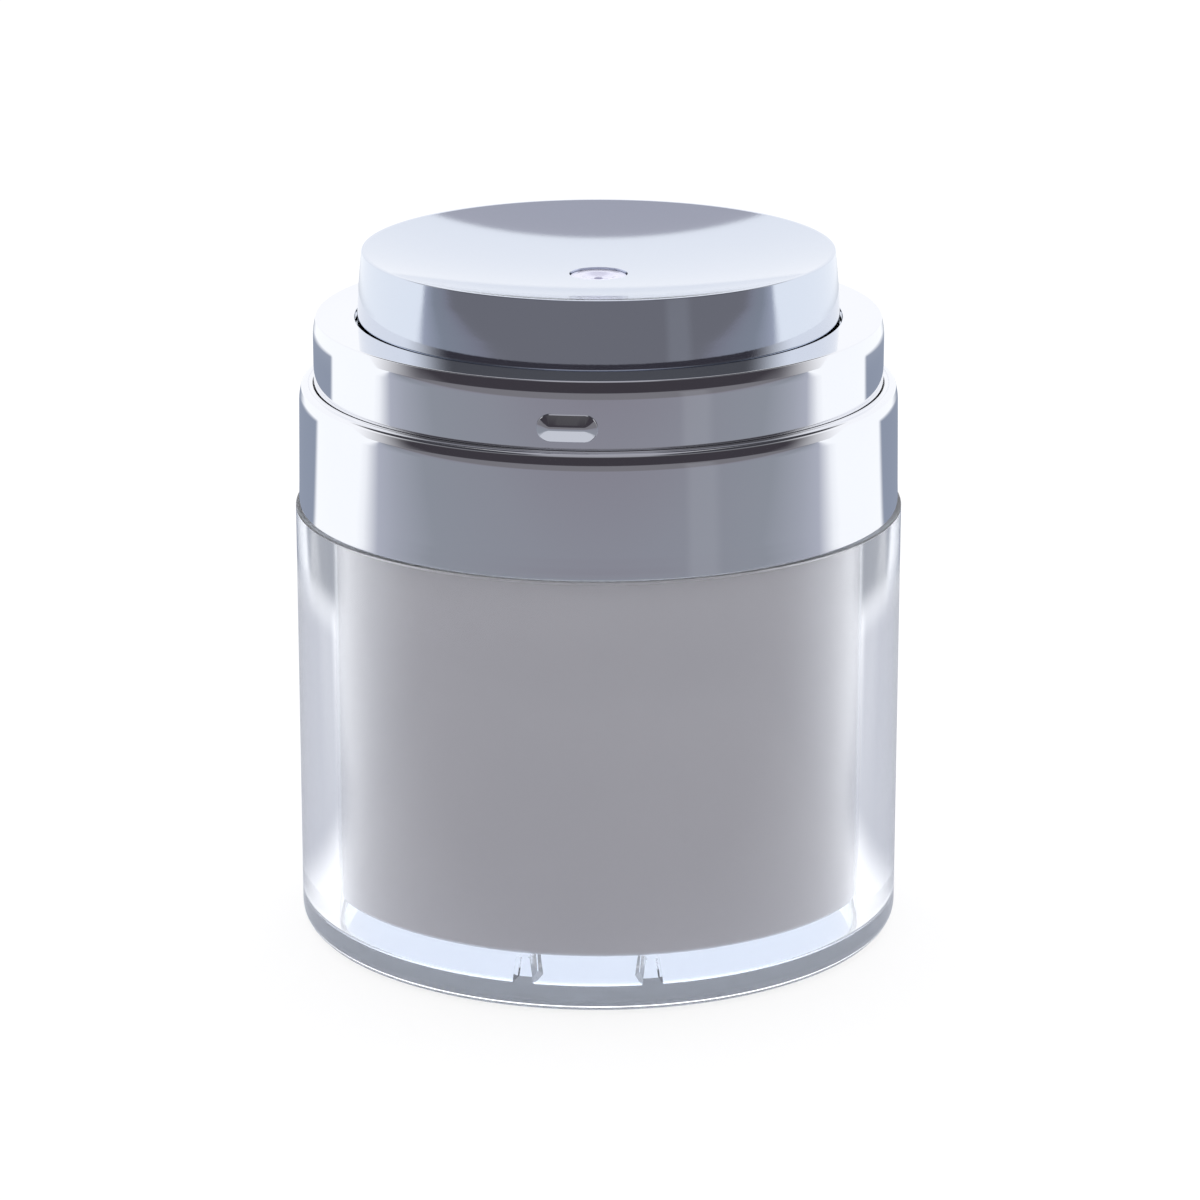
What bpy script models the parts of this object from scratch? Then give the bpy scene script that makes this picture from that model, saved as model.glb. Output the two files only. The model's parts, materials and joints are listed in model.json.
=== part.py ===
"""Airless pump jar for face cream, shown with its overcap off, standing on a table.

A clear acrylic outer jar holds a grey inner cup. A follower piston rises in the cup as cream is drawn off.
The pump hangs in a deep deck that closes the cup, and a bright collar screws the deck down on its neck.
Pressing the dished plate drives a stem and piston down a barrel, and cream comes up through the stem to an
outlet in the middle of the dish. Metres, +Z up, origin at the middle of the underside, front towards -Y.
"""

import math

import bmesh
import bpy
from mathutils import Matrix, Vector

# Clearances
SEAT_GAP = 0.00015  # between pieces that seat on or in one another
SLIDE_GAP = 0.0002  # between pieces that slide or turn in one another
WALL_GAP = 0.0003  # between the cup and the jar round it, and under the collar's skirt
THREAD_GAP = 0.0003  # between the crest of one thread and the root of the other

# Outer jar, clear acrylic
JAR_RADIUS = 0.0320
JAR_WALL = 0.0039
JAR_HEIGHT = 0.0458
JAR_FLOOR = 0.0020
JAR_FOOT_ROUND = 0.0018
FOOT_RING_WIDTH = 0.0036
FOOT_RECESS = 0.0004
FOOT_SLOPE = 0.0006
SPIGOT_STEP = 0.0017
SPIGOT_HEIGHT = 0.0011
RIB_PAIRS = 3
RIB_PAIR_ANGLE = math.radians(26.3)
RIB_FRONT_ANGLE = math.radians(-2.2)
RIB_HEIGHT = 0.0030
RIB_LENGTH = 0.0036
RIB_TIP_WIDTH = 0.0014
RIB_FOOT_WIDTH = 0.0024

# Inner cup, pearl grey polypropylene
CUP_WALL = 0.0013
CUP_FLOOR = 0.0014
CUP_FOOT_ROUND = 0.0005
VENT_RADIUS = 0.0015
CUP_FLANGE_REACH = 0.0022
CUP_FLANGE = 0.0010
NECK_SWELL = 0.0002
NECK_HEIGHT = 0.00675

# Screw thread on the cup's neck and in the collar
THREAD_DEPTH = 0.0008
THREAD_PITCH = 0.0030
THREAD_TURNS = 1.2
THREAD_FOOT_WIDTH = 0.0014
THREAD_TIP_WIDTH = 0.0006
THREAD_START = 0.0010
THREAD_ROOT_OVERLAP = 0.0004

# Follower piston, polyethylene, with a wiping lip at each end of its skirt
FOLLOWER_HEIGHT = 0.0120
FOLLOWER_SKIRT = 0.0011
FOLLOWER_WEB = 0.0014
FOLLOWER_LIP = 0.0006
FOLLOWER_LIP_HEIGHT = 0.0016
FOLLOWER_WELL_DEPTH = 0.0023

# Pump deck, the deep lid of the cup
DECK_FLANGE = 0.0011
DECK_FLANGE_REACH = 0.0022
DECK_DEPTH = 0.0135
DECK_WALL = 0.0013
DECK_WEB = 0.0014
DECK_SLEEVE_WALL = 0.0014
DECK_RIBS = 8
DECK_RIB_HEIGHT = 0.0030
DECK_RIB_WIDTH = 0.0010
DECK_RIB_OVERLAP = 0.0005
CUP_GASKET = 0.0006
CUP_GASKET_WIDTH = 0.0014

# Pump housing and what runs in it
BARREL_BORE = 0.0062
BARREL_WALL = 0.0010
HOUSING_PROUD = 0.0020
HOUSING_FLOOR = 0.0012
HOUSING_FLANGE = 0.0010
HOUSING_FLANGE_REACH = 0.0024
SNAP_BEAD = 0.00055
SNAP_BEAD_HEIGHT = 0.0008
INLET_RADIUS = 0.0018
HOUSING_GASKET = 0.0005
HOUSING_GASKET_WIDTH = 0.0013
INLET_VALVE_RADIUS = 0.0032
INLET_VALVE_DISC = 0.0008
INLET_PIN_RADIUS = 0.0011
INLET_PIN_LENGTH = 0.0009
INLET_LIFT = 0.0008
CHAMBER_MARGIN = 0.0009
STROKE = 0.0042
STEM_RADIUS = 0.0027
STEM_BORE = 0.0013
STEM_FOOT_RADIUS = 0.0040
STEM_FOOT = 0.0008
PISTON_HEIGHT = 0.00405
PISTON_WALL = 0.0008
PISTON_LIP = 0.0005
GUIDE_FLANGE = 0.0010
GUIDE_FLANGE_REACH = 0.0012
GUIDE_WALL = 0.0012
SPRING_WIRE_RADIUS = 0.00035
SPRING_CLEAR = 0.0007
SPRING_TURNS = 4

# Press plate, its core and its outlet
PLATE_PROUD = 0.0070
PLATE_RIM_WIDTH = 0.0006
PLATE_RIM_ROUND = 0.0002
PLATE_CROWN = 0.0003
PLATE_CROWN_HEIGHT = 0.0025
PLATE_FLARE = 0.0002
PLATE_FLARE_HEIGHT = 0.0008
PLATE_FOOT_ABOVE_SHOULDER = 0.0001
PLATE_WALL = 0.0012
DISH_DEPTH = 0.0028
PLATE_FLANGE = 0.0011
PLATE_FLANGE_REACH = 0.0019
PLATE_STOP_GAP = 0.0003
PLATE_SOCKET_WALL = 0.0010
PLATE_SOCKET_DEPTH = 0.0016
CORE_FLANGE_RADIUS = 0.0092
CORE_FLANGE = 0.0010
CORE_HUB_WALL = 0.00235
CORE_HUB_CLEAR = 0.00035
CORE_SEAT = 0.0008
CORE_PASSAGE = 0.0012
OUTLET_CHAMBER_RADIUS = 0.0024
OUTLET_VALVE_RADIUS = 0.0019
OUTLET_VALVE_DISC = 0.0006
OUTLET_NIB_RADIUS = 0.0008
OUTLET_NIB_HEIGHT = 0.0003
OUTLET_LIFT = 0.0005
TIP_RADIUS = 0.0029
TIP_SUNK = 0.0002
TIP_SPIGOT = 0.0005
TIP_DIMPLE_RADIUS = 0.0016
TIP_DIMPLE_DEPTH = 0.0003
ORIFICE_RADIUS = 0.00045

# Collar: a threaded core with two bright sleeves on it
CORE_WEB = 0.00125
CORE_UPPER_WALL = 0.00165
CORE_FOOT_CLEAR = 0.00025
SLEEVE_STEP = 0.00155
SLEEVE_WALL = 0.0007
SLEEVE_HEIGHT = 0.00775
SLEEVE_CROWN = 0.0002
SLEEVE_CROWN_HEIGHT = 0.0015
SLEEVE_EDGE_ROUND = 0.0003
SHOULDER_WIDTH = 0.0042
OPENING_GAP = 0.00045
NUBS = 3
NUB_FRONT_ANGLE = math.radians(-6.0)
NUB_LENGTH = 0.0062
NUB_HEIGHT = 0.0029
NUB_PROUD = 0.00055
NUB_EDGE = 0.0001
NUB_RIDGE = 0.0005
NUB_ABOVE_SLEEVE_FOOT = 0.0030
NUB_OVERLAP = 0.0004
BAND_INSET = 0.0004
BAND_TAPER = 0.00015
BAND_WALL = 0.0006
BAND_LEDGE = 0.00075
LEDGE_GROOVE = 0.0002
LEDGE_GROOVE_DEPTH = 0.0003
LEDGE_GROOVE_FROM_OPENING = 0.0003
BAND_CROWN = 0.0002
BAND_CROWN_HEIGHT = 0.0012
BAND_EDGE_ROUND = 0.0003
BEAD_PROUD = 0.0003
BEAD_HEIGHT = 0.0009

# Fineness of the faceted solids
LARGE_SEGMENTS = 40
SMALL_SEGMENTS = 24
ARC_STEPS = 3
DISH_STEPS = 5
PROFILE_STEPS = 3
NUB_SEGMENTS = 16
SPRING_POINTS_PER_TURN = 10
WELD_DISTANCE = 1e-6
CREASE_ANGLE = math.radians(30)

# Radii that follow from the sizes above
JAR_BORE = JAR_RADIUS - JAR_WALL
SPIGOT_RADIUS = JAR_RADIUS - SPIGOT_STEP
CUP_RADIUS = JAR_BORE - WALL_GAP
CUP_BORE = CUP_RADIUS - CUP_WALL
NECK_RADIUS = CUP_RADIUS + NECK_SWELL
THREAD_RADIUS = NECK_RADIUS + THREAD_DEPTH
DECK_RADIUS = CUP_BORE - SLIDE_GAP
BARREL_RADIUS = BARREL_BORE + BARREL_WALL
DECK_SLEEVE_BORE = BARREL_RADIUS + SLIDE_GAP
DECK_SLEEVE_RADIUS = DECK_SLEEVE_BORE + DECK_SLEEVE_WALL
BAND_RADIUS = JAR_RADIUS - BAND_INSET
BAND_TOP_RADIUS = BAND_RADIUS - BAND_TAPER
SLEEVE_RADIUS = BAND_TOP_RADIUS - SLEEVE_STEP
OPENING_RADIUS = SLEEVE_RADIUS - SHOULDER_WIDTH
PLATE_FOOT_RADIUS = OPENING_RADIUS - OPENING_GAP
PLATE_SIDE_RADIUS = PLATE_FOOT_RADIUS - PLATE_FLARE
PLATE_TOP_RADIUS = PLATE_SIDE_RADIUS - PLATE_CROWN
PLATE_FLANGE_RADIUS = PLATE_FOOT_RADIUS + PLATE_FLANGE_REACH
SLEEVE_BORE = SLEEVE_RADIUS - SLEEVE_WALL
CORE_UPPER_RADIUS = SLEEVE_BORE - SEAT_GAP
CORE_UPPER_BORE = CORE_UPPER_RADIUS - CORE_UPPER_WALL
CORE_LOWER_RADIUS = BAND_TOP_RADIUS - BAND_WALL - SEAT_GAP
CORE_THREAD_ROOT = THREAD_RADIUS + THREAD_GAP
BAND_OPENING = SLEEVE_RADIUS + SEAT_GAP
PLATE_HOLE_RADIUS = TIP_RADIUS + SEAT_GAP
STEM_SOCKET_RADIUS = STEM_RADIUS + SEAT_GAP
CORE_HUB_RADIUS = STEM_SOCKET_RADIUS + CORE_HUB_WALL
GUIDE_BORE = STEM_RADIUS + SLIDE_GAP

# Heights of the seats, from the table up
SPIGOT_TOP = JAR_HEIGHT + SPIGOT_HEIGHT
CUP_UNDERSIDE = JAR_FLOOR + RIB_HEIGHT + SEAT_GAP
CUP_FLANGE_UNDERSIDE = SPIGOT_TOP + SEAT_GAP
CUP_FLANGE_TOP = CUP_FLANGE_UNDERSIDE + CUP_FLANGE
CUP_RIM = CUP_FLANGE_TOP + NECK_HEIGHT
FOLLOWER_UNDERSIDE = CUP_UNDERSIDE + CUP_FLOOR + SEAT_GAP
GASKET_UNDERSIDE = CUP_RIM + SEAT_GAP
DECK_FLANGE_UNDERSIDE = GASKET_UNDERSIDE + CUP_GASKET + SEAT_GAP
DECK_TOP = DECK_FLANGE_UNDERSIDE + DECK_FLANGE
DECK_UNDERSIDE = DECK_TOP - DECK_DEPTH
CORE_CLAMP = DECK_TOP + SEAT_GAP
CORE_LEDGE = CORE_CLAMP + CORE_WEB
SLEEVE_FOOT = CORE_LEDGE + SEAT_GAP
SHOULDER_TOP = SLEEVE_FOOT + SLEEVE_HEIGHT
SHOULDER_UNDERSIDE = SHOULDER_TOP - SLEEVE_WALL
CORE_TOP = SHOULDER_UNDERSIDE - SEAT_GAP
CORE_FOOT = CUP_FLANGE_TOP + CORE_FOOT_CLEAR
BAND_FOOT = JAR_HEIGHT + WALL_GAP
BAND_TOP = CORE_LEDGE + SEAT_GAP + BAND_LEDGE
PLATE_TOP = SHOULDER_TOP + PLATE_PROUD
PLATE_FLANGE_TOP = SHOULDER_UNDERSIDE - PLATE_STOP_GAP
PLATE_FOOT = PLATE_FLANGE_TOP - PLATE_FLANGE
DISH_FLOOR = PLATE_TOP - DISH_DEPTH
HOUSING_GASKET_UNDERSIDE = DECK_TOP + SEAT_GAP
HOUSING_FLANGE_UNDERSIDE = HOUSING_GASKET_UNDERSIDE + HOUSING_GASKET + SEAT_GAP
HOUSING_TOP = HOUSING_FLANGE_UNDERSIDE + HOUSING_FLANGE
HOUSING_UNDERSIDE = DECK_UNDERSIDE - HOUSING_PROUD
INLET_SEAT = HOUSING_UNDERSIDE + HOUSING_FLOOR + SEAT_GAP
STEM_FOOT_UNDERSIDE = INLET_SEAT + INLET_VALVE_DISC + INLET_LIFT + STROKE + CHAMBER_MARGIN
PISTON_UNDERSIDE = STEM_FOOT_UNDERSIDE + STEM_FOOT + SEAT_GAP
GUIDE_UNDERSIDE = PISTON_UNDERSIDE + PISTON_HEIGHT + SEAT_GAP
GUIDE_FLANGE_UNDERSIDE = HOUSING_TOP + SEAT_GAP
GUIDE_TOP = GUIDE_FLANGE_UNDERSIDE + GUIDE_FLANGE
PLATE_CORE_TOP = DISH_FLOOR - PLATE_WALL - SEAT_GAP
CORE_FLANGE_UNDERSIDE = PLATE_CORE_TOP - CORE_FLANGE
HUB_FOOT = GUIDE_TOP + STROKE + CORE_HUB_CLEAR
TIP_HEAD_UNDERSIDE = PLATE_CORE_TOP + SEAT_GAP
OUTLET_NIB_TOP = TIP_HEAD_UNDERSIDE - TIP_SPIGOT - SLIDE_GAP - OUTLET_LIFT
OUTLET_VALVE_UNDERSIDE = OUTLET_NIB_TOP - OUTLET_NIB_HEIGHT - OUTLET_VALVE_DISC
OUTLET_SEAT = OUTLET_VALVE_UNDERSIDE - SEAT_GAP
STEM_TOP = OUTLET_SEAT - CORE_SEAT - SEAT_GAP
SPRING_FOOT = GUIDE_TOP + SEAT_GAP
SPRING_TOP = CORE_FLANGE_UNDERSIDE - SEAT_GAP


def finish(name, colour, roughness, metallic=0.0, transmission=0.0):
    """A plain Principled material."""
    material = bpy.data.materials.new(name)
    material.use_nodes = True
    shader = material.node_tree.nodes["Principled BSDF"]
    shader.inputs["Base Color"].default_value = (*colour, 1.0)
    shader.inputs["Roughness"].default_value = roughness
    shader.inputs["Metallic"].default_value = metallic
    shader.inputs["Transmission Weight"].default_value = transmission
    return material


def clear_scene():
    for item in list(bpy.data.objects):
        bpy.data.objects.remove(item, do_unlink=True)


def body(name, height):
    """The empty that carries the pieces of one moving body, on the jar's axis."""
    empty = bpy.data.objects.new(name, None)
    empty.location.z = height
    bpy.context.scene.collection.objects.link(empty)
    return empty


def placed(name, mesh, material, height, carrier):
    """An object for a finished bmesh, standing at a height above the table on its carrier."""
    data = bpy.data.meshes.new(name)
    mesh.to_mesh(data)
    mesh.free()
    data.shade_smooth()
    data.set_sharp_from_angle(angle=CREASE_ANGLE)
    piece = bpy.data.objects.new(name, data)
    bpy.context.scene.collection.objects.link(piece)
    if material:
        data.materials.append(material)
    if carrier:
        piece.parent = carrier
        piece.location.z = height - carrier.location.z
    else:
        piece.location.z = height
    return piece


def rounded(corners):
    """The outline through (radius, height) corners. A third number rounds that corner with an arc."""
    points = []
    for i, corner in enumerate(corners):
        here = Vector(corner[:2])
        if len(corner) == 2:
            points.append(here)
            continue
        before = (Vector(corners[i - 1][:2]) - here).normalized()
        after = (Vector(corners[(i + 1) % len(corners)][:2]) - here).normalized()
        half = before.angle(after) / 2
        centre = here + (before + after).normalized() * corner[2] / math.sin(half)
        start = here + before * corner[2] / math.tan(half) - centre
        sweep = start.angle_signed(here + after * corner[2] / math.tan(half) - centre)
        for step in range(ARC_STEPS + 1):
            turn = Matrix.Rotation(-sweep * step / ARC_STEPS, 2)
            points.append(centre + turn @ start)
    return points


def turned_mesh(corners, segments):
    """The outline spun round the Z axis. An outline that starts and ends on the axis is left open there."""
    mesh = bmesh.new()
    verts = [mesh.verts.new((point[0], 0, point[1])) for point in rounded(corners)]
    pairs = list(zip(verts, verts[1:]))
    if corners[0][0] > 0 or corners[-1][0] > 0:
        pairs.append((verts[-1], verts[0]))
    edges = [mesh.edges.new(pair) for pair in pairs]
    bmesh.ops.spin(
        mesh,
        geom=verts + edges,
        cent=(0, 0, 0),
        axis=(0, 0, 1),
        angle=math.tau,
        steps=segments,
        use_merge=True,
    )
    bmesh.ops.remove_doubles(mesh, verts=mesh.verts, dist=WELD_DISTANCE)
    bmesh.ops.recalc_face_normals(mesh, faces=mesh.faces)
    return mesh


def turned(name, corners, material, height, carrier, segments=LARGE_SEGMENTS):
    return placed(name, turned_mesh(corners, segments), material, height, carrier)


def helper(name, mesh, height):
    """A shape that a Boolean joins to a piece or cuts from it."""
    tool = placed(name, mesh, None, height, None)
    tool.hide_render = True
    tool.display_type = "WIRE"
    return tool


def combine(piece, tool, operation):
    modifier = piece.modifiers.new(tool.name, "BOOLEAN")
    modifier.object = tool
    modifier.operation = operation
    modifier.solver = "EXACT"


def block(mesh, low, high):
    """Adds a box between two corners, and returns its vertices."""
    size = Vector(high) - Vector(low)
    middle = (Vector(high) + Vector(low)) / 2
    made = bmesh.ops.create_cube(mesh, size=1.0)["verts"]
    bmesh.ops.scale(mesh, vec=size, verts=made)
    bmesh.ops.translate(mesh, vec=middle, verts=made)
    return made


def thread_mesh(root_radius, crest_radius):
    """A helical ridge from just behind the root radius to the crest, which may lie inside or outside it."""
    outwards = math.copysign(1, crest_radius - root_radius)
    buried = root_radius - outwards * THREAD_ROOT_OVERLAP
    section = (
        (buried, -THREAD_FOOT_WIDTH / 2),
        (root_radius, -THREAD_FOOT_WIDTH / 2),
        (crest_radius, -THREAD_TIP_WIDTH / 2),
        (crest_radius, THREAD_TIP_WIDTH / 2),
        (root_radius, THREAD_FOOT_WIDTH / 2),
        (buried, THREAD_FOOT_WIDTH / 2),
    )
    steps = round(THREAD_TURNS * LARGE_SEGMENTS)
    mesh = bmesh.new()
    face = mesh.faces.new([mesh.verts.new((radius, 0, height)) for radius, height in section])
    bmesh.ops.spin(
        mesh,
        geom=[face, *face.edges, *face.verts],
        cent=(0, 0, 0),
        axis=(0, 0, 1),
        dvec=(0, 0, THREAD_PITCH * THREAD_TURNS / steps),
        angle=math.tau * THREAD_TURNS,
        steps=steps,
    )
    bmesh.ops.recalc_face_normals(mesh, faces=mesh.faces)
    return mesh


def dish_height(radius):
    """Height of the dish's surface at a radius: part of a sphere that meets the rim's inner edge."""
    edge = PLATE_TOP_RADIUS - PLATE_RIM_WIDTH
    sphere = (edge**2 + DISH_DEPTH**2) / (2 * DISH_DEPTH)
    return DISH_FLOOR + sphere - math.sqrt(sphere**2 - radius**2)


def outer_jar(material, carrier):
    foot_inner = JAR_RADIUS - FOOT_RING_WIDTH
    corners = [
        (0, FOOT_RECESS),
        (foot_inner - FOOT_SLOPE, FOOT_RECESS),
        (foot_inner, 0),
        (JAR_RADIUS, 0, JAR_FOOT_ROUND),
        (JAR_RADIUS, JAR_HEIGHT, SEAT_GAP),
        (SPIGOT_RADIUS, JAR_HEIGHT),
        (SPIGOT_RADIUS, SPIGOT_TOP),
        (JAR_BORE, SPIGOT_TOP),
        (JAR_BORE, JAR_FLOOR),
        (0, JAR_FLOOR),
    ]
    jar = turned("outer_jar", corners, material, 0, carrier)
    combine(jar, helper("jar_floor_ribs", rib_mesh(), JAR_FLOOR), "UNION")


def rib_mesh():
    """Pairs of low tapered ribs on the jar's floor that the cup stands on, each joined to the wall."""
    mesh = bmesh.new()
    for pair in range(RIB_PAIRS):
        for side in (-1, 1):
            low = (JAR_BORE - RIB_LENGTH, -RIB_FOOT_WIDTH / 2, -JAR_FLOOR / 2)
            high = (JAR_BORE + JAR_WALL / 2, RIB_FOOT_WIDTH / 2, RIB_HEIGHT)
            rib = block(mesh, low, high)
            tips = [vert for vert in rib if vert.co.z > 0]
            bmesh.ops.scale(mesh, vec=(1, RIB_TIP_WIDTH / RIB_FOOT_WIDTH, 1), verts=tips)
            angle = math.tau * pair / RIB_PAIRS + RIB_FRONT_ANGLE + side * RIB_PAIR_ANGLE / 2
            turn = Matrix.Rotation(angle - math.pi / 2, 3, "Z")
            bmesh.ops.rotate(mesh, matrix=turn, verts=rib)
    return mesh


def inner_cup(material, carrier):
    base = CUP_UNDERSIDE
    floor = CUP_FLOOR
    flange_radius = CUP_RADIUS + CUP_FLANGE_REACH
    corners = [
        (VENT_RADIUS, 0),
        (CUP_RADIUS, 0, CUP_FOOT_ROUND),
        (CUP_RADIUS, CUP_FLANGE_UNDERSIDE - base),
        (flange_radius, CUP_FLANGE_UNDERSIDE - base),
        (flange_radius, CUP_FLANGE_TOP - base),
        (NECK_RADIUS, CUP_FLANGE_TOP - base),
        (NECK_RADIUS, CUP_RIM - base),
        (CUP_BORE, CUP_RIM - base),
        (CUP_BORE, floor),
        (VENT_RADIUS, floor),
    ]
    cup = turned("inner_cup", corners, material, base, carrier)
    ridge = thread_mesh(NECK_RADIUS, THREAD_RADIUS)
    combine(cup, helper("neck_thread", ridge, CUP_FLANGE_TOP + THREAD_START), "UNION")


def follower_piston(material, carrier):
    lip_radius = CUP_BORE - SEAT_GAP
    skirt_radius = lip_radius - FOLLOWER_LIP
    skirt_bore = skirt_radius - FOLLOWER_SKIRT
    well_radius = BARREL_RADIUS + SNAP_BEAD + SLIDE_GAP
    well_floor = FOLLOWER_HEIGHT - FOLLOWER_WELL_DEPTH
    corners = [
        (0, well_floor - FOLLOWER_WEB),
        (well_radius + FOLLOWER_WEB, well_floor - FOLLOWER_WEB),
        (well_radius + FOLLOWER_WEB, FOLLOWER_HEIGHT - FOLLOWER_WEB),
        (skirt_bore, FOLLOWER_HEIGHT - FOLLOWER_WEB),
        (skirt_bore, 0),
        (lip_radius, 0),
        (skirt_radius, FOLLOWER_LIP_HEIGHT),
        (skirt_radius, FOLLOWER_HEIGHT - FOLLOWER_LIP_HEIGHT),
        (lip_radius, FOLLOWER_HEIGHT),
        (well_radius, FOLLOWER_HEIGHT),
        (well_radius, well_floor),
        (0, well_floor),
    ]
    turned("follower_piston", corners, material, FOLLOWER_UNDERSIDE, carrier)


def pump_deck(material, carrier):
    """A deep tray with a flange at its rim and a sleeve in its middle, stiffened by radial ribs."""
    flange_radius = CUP_BORE + DECK_FLANGE_REACH
    bore = DECK_RADIUS - DECK_WALL
    corners = [
        (DECK_SLEEVE_BORE, 0),
        (DECK_RADIUS, 0),
        (DECK_RADIUS, DECK_DEPTH - DECK_FLANGE),
        (flange_radius, DECK_DEPTH - DECK_FLANGE),
        (flange_radius, DECK_DEPTH),
        (bore, DECK_DEPTH),
        (bore, DECK_WEB),
        (DECK_SLEEVE_RADIUS, DECK_WEB),
        (DECK_SLEEVE_RADIUS, DECK_DEPTH),
        (DECK_SLEEVE_BORE, DECK_DEPTH),
    ]
    deck = turned("pump_deck", corners, material, DECK_UNDERSIDE, carrier)
    mesh = bmesh.new()
    for number in range(DECK_RIBS):
        low = (DECK_SLEEVE_RADIUS - DECK_RIB_OVERLAP, -DECK_RIB_WIDTH / 2, -DECK_RIB_OVERLAP)
        high = (bore + DECK_RIB_OVERLAP, DECK_RIB_WIDTH / 2, DECK_RIB_HEIGHT)
        turn = Matrix.Rotation(math.tau * (number + 0.5) / DECK_RIBS, 3, "Z")
        bmesh.ops.rotate(mesh, matrix=turn, verts=block(mesh, low, high))
    combine(deck, helper("deck_ribs", mesh, DECK_UNDERSIDE + DECK_WEB), "UNION")


def washer(name, bore, radius, thickness, material, height, carrier, segments):
    corners = [(bore, 0), (radius, 0), (radius, thickness), (bore, thickness)]
    turned(name, corners, material, height, carrier, segments)


def gaskets(material, carrier):
    washer(
        "cup_gasket",
        CUP_BORE,
        CUP_BORE + CUP_GASKET_WIDTH,
        CUP_GASKET,
        material,
        GASKET_UNDERSIDE,
        carrier,
        LARGE_SEGMENTS,
    )
    washer(
        "housing_gasket",
        DECK_SLEEVE_BORE,
        DECK_SLEEVE_BORE + HOUSING_GASKET_WIDTH,
        HOUSING_GASKET,
        material,
        HOUSING_GASKET_UNDERSIDE,
        carrier,
        SMALL_SEGMENTS,
    )


def pump_housing(material, carrier):
    """The pump's barrel, with an inlet in its floor and a bead that snaps under the deck."""
    base = HOUSING_UNDERSIDE
    bead_top = HOUSING_PROUD - SEAT_GAP
    bead_radius = BARREL_RADIUS + SNAP_BEAD
    flange_radius = BARREL_RADIUS + HOUSING_FLANGE_REACH
    corners = [
        (INLET_RADIUS, 0),
        (BARREL_RADIUS, 0),
        (BARREL_RADIUS, bead_top - SNAP_BEAD_HEIGHT),
        (bead_radius, bead_top - SNAP_BEAD),
        (bead_radius, bead_top),
        (BARREL_RADIUS, bead_top),
        (BARREL_RADIUS, HOUSING_FLANGE_UNDERSIDE - base),
        (flange_radius, HOUSING_FLANGE_UNDERSIDE - base),
        (flange_radius, HOUSING_TOP - base),
        (BARREL_BORE, HOUSING_TOP - base),
        (BARREL_BORE, HOUSING_FLOOR),
        (INLET_RADIUS, HOUSING_FLOOR),
    ]
    turned("pump_housing", corners, material, base, carrier, SMALL_SEGMENTS)


def stem_guide(material, carrier):
    """The ring that closes the barrel's top, stops the piston and guides the stem."""
    skirt_radius = BARREL_BORE - SEAT_GAP
    skirt_bore = skirt_radius - GUIDE_WALL
    flange_radius = BARREL_RADIUS + GUIDE_FLANGE_REACH
    flange_height = GUIDE_FLANGE_UNDERSIDE - GUIDE_UNDERSIDE
    top = flange_height + GUIDE_FLANGE
    corners = [
        (skirt_bore, 0),
        (skirt_radius, 0),
        (skirt_radius, flange_height),
        (flange_radius, flange_height),
        (flange_radius, top),
        (GUIDE_BORE, top),
        (GUIDE_BORE, flange_height),
        (skirt_bore, flange_height),
    ]
    turned("stem_guide", corners, material, GUIDE_UNDERSIDE, carrier, SMALL_SEGMENTS)


def inlet_valve(material, carrier):
    """A disc that lies over the inlet, with a pin that keeps it in the middle."""
    corners = [
        (0, -INLET_PIN_LENGTH),
        (INLET_PIN_RADIUS, -INLET_PIN_LENGTH),
        (INLET_PIN_RADIUS, 0),
        (INLET_VALVE_RADIUS, 0),
        (INLET_VALVE_RADIUS, INLET_VALVE_DISC),
        (0, INLET_VALVE_DISC),
    ]
    turned("inlet_valve", corners, material, INLET_SEAT, carrier, SMALL_SEGMENTS)


def stem(material, carrier):
    top = STEM_TOP - STEM_FOOT_UNDERSIDE
    corners = [
        (STEM_BORE, 0),
        (STEM_FOOT_RADIUS, 0),
        (STEM_FOOT_RADIUS, STEM_FOOT),
        (STEM_RADIUS, STEM_FOOT),
        (STEM_RADIUS, top),
        (STEM_BORE, top),
    ]
    turned("stem", corners, material, STEM_FOOT_UNDERSIDE, carrier, SMALL_SEGMENTS)


def pump_piston(material, carrier):
    """A hub on the stem with a wiping lip above and below."""
    bore = STEM_RADIUS + SEAT_GAP
    hub_radius = bore + PISTON_WALL
    lip_radius = BARREL_BORE - SEAT_GAP
    waist_radius = lip_radius - PISTON_LIP
    web_half = PISTON_WALL / 2
    middle = PISTON_HEIGHT / 2
    corners = [
        (bore, 0),
        (hub_radius, 0),
        (hub_radius, middle - web_half),
        (waist_radius - PISTON_LIP, middle - web_half),
        (lip_radius - PISTON_LIP, 0),
        (lip_radius, 0),
        (waist_radius, middle),
        (lip_radius, PISTON_HEIGHT),
        (lip_radius - PISTON_LIP, PISTON_HEIGHT),
        (waist_radius - PISTON_LIP, middle + web_half),
        (hub_radius, middle + web_half),
        (hub_radius, PISTON_HEIGHT),
        (bore, PISTON_HEIGHT),
    ]
    turned("pump_piston", corners, material, PISTON_UNDERSIDE, carrier, SMALL_SEGMENTS)


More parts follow.
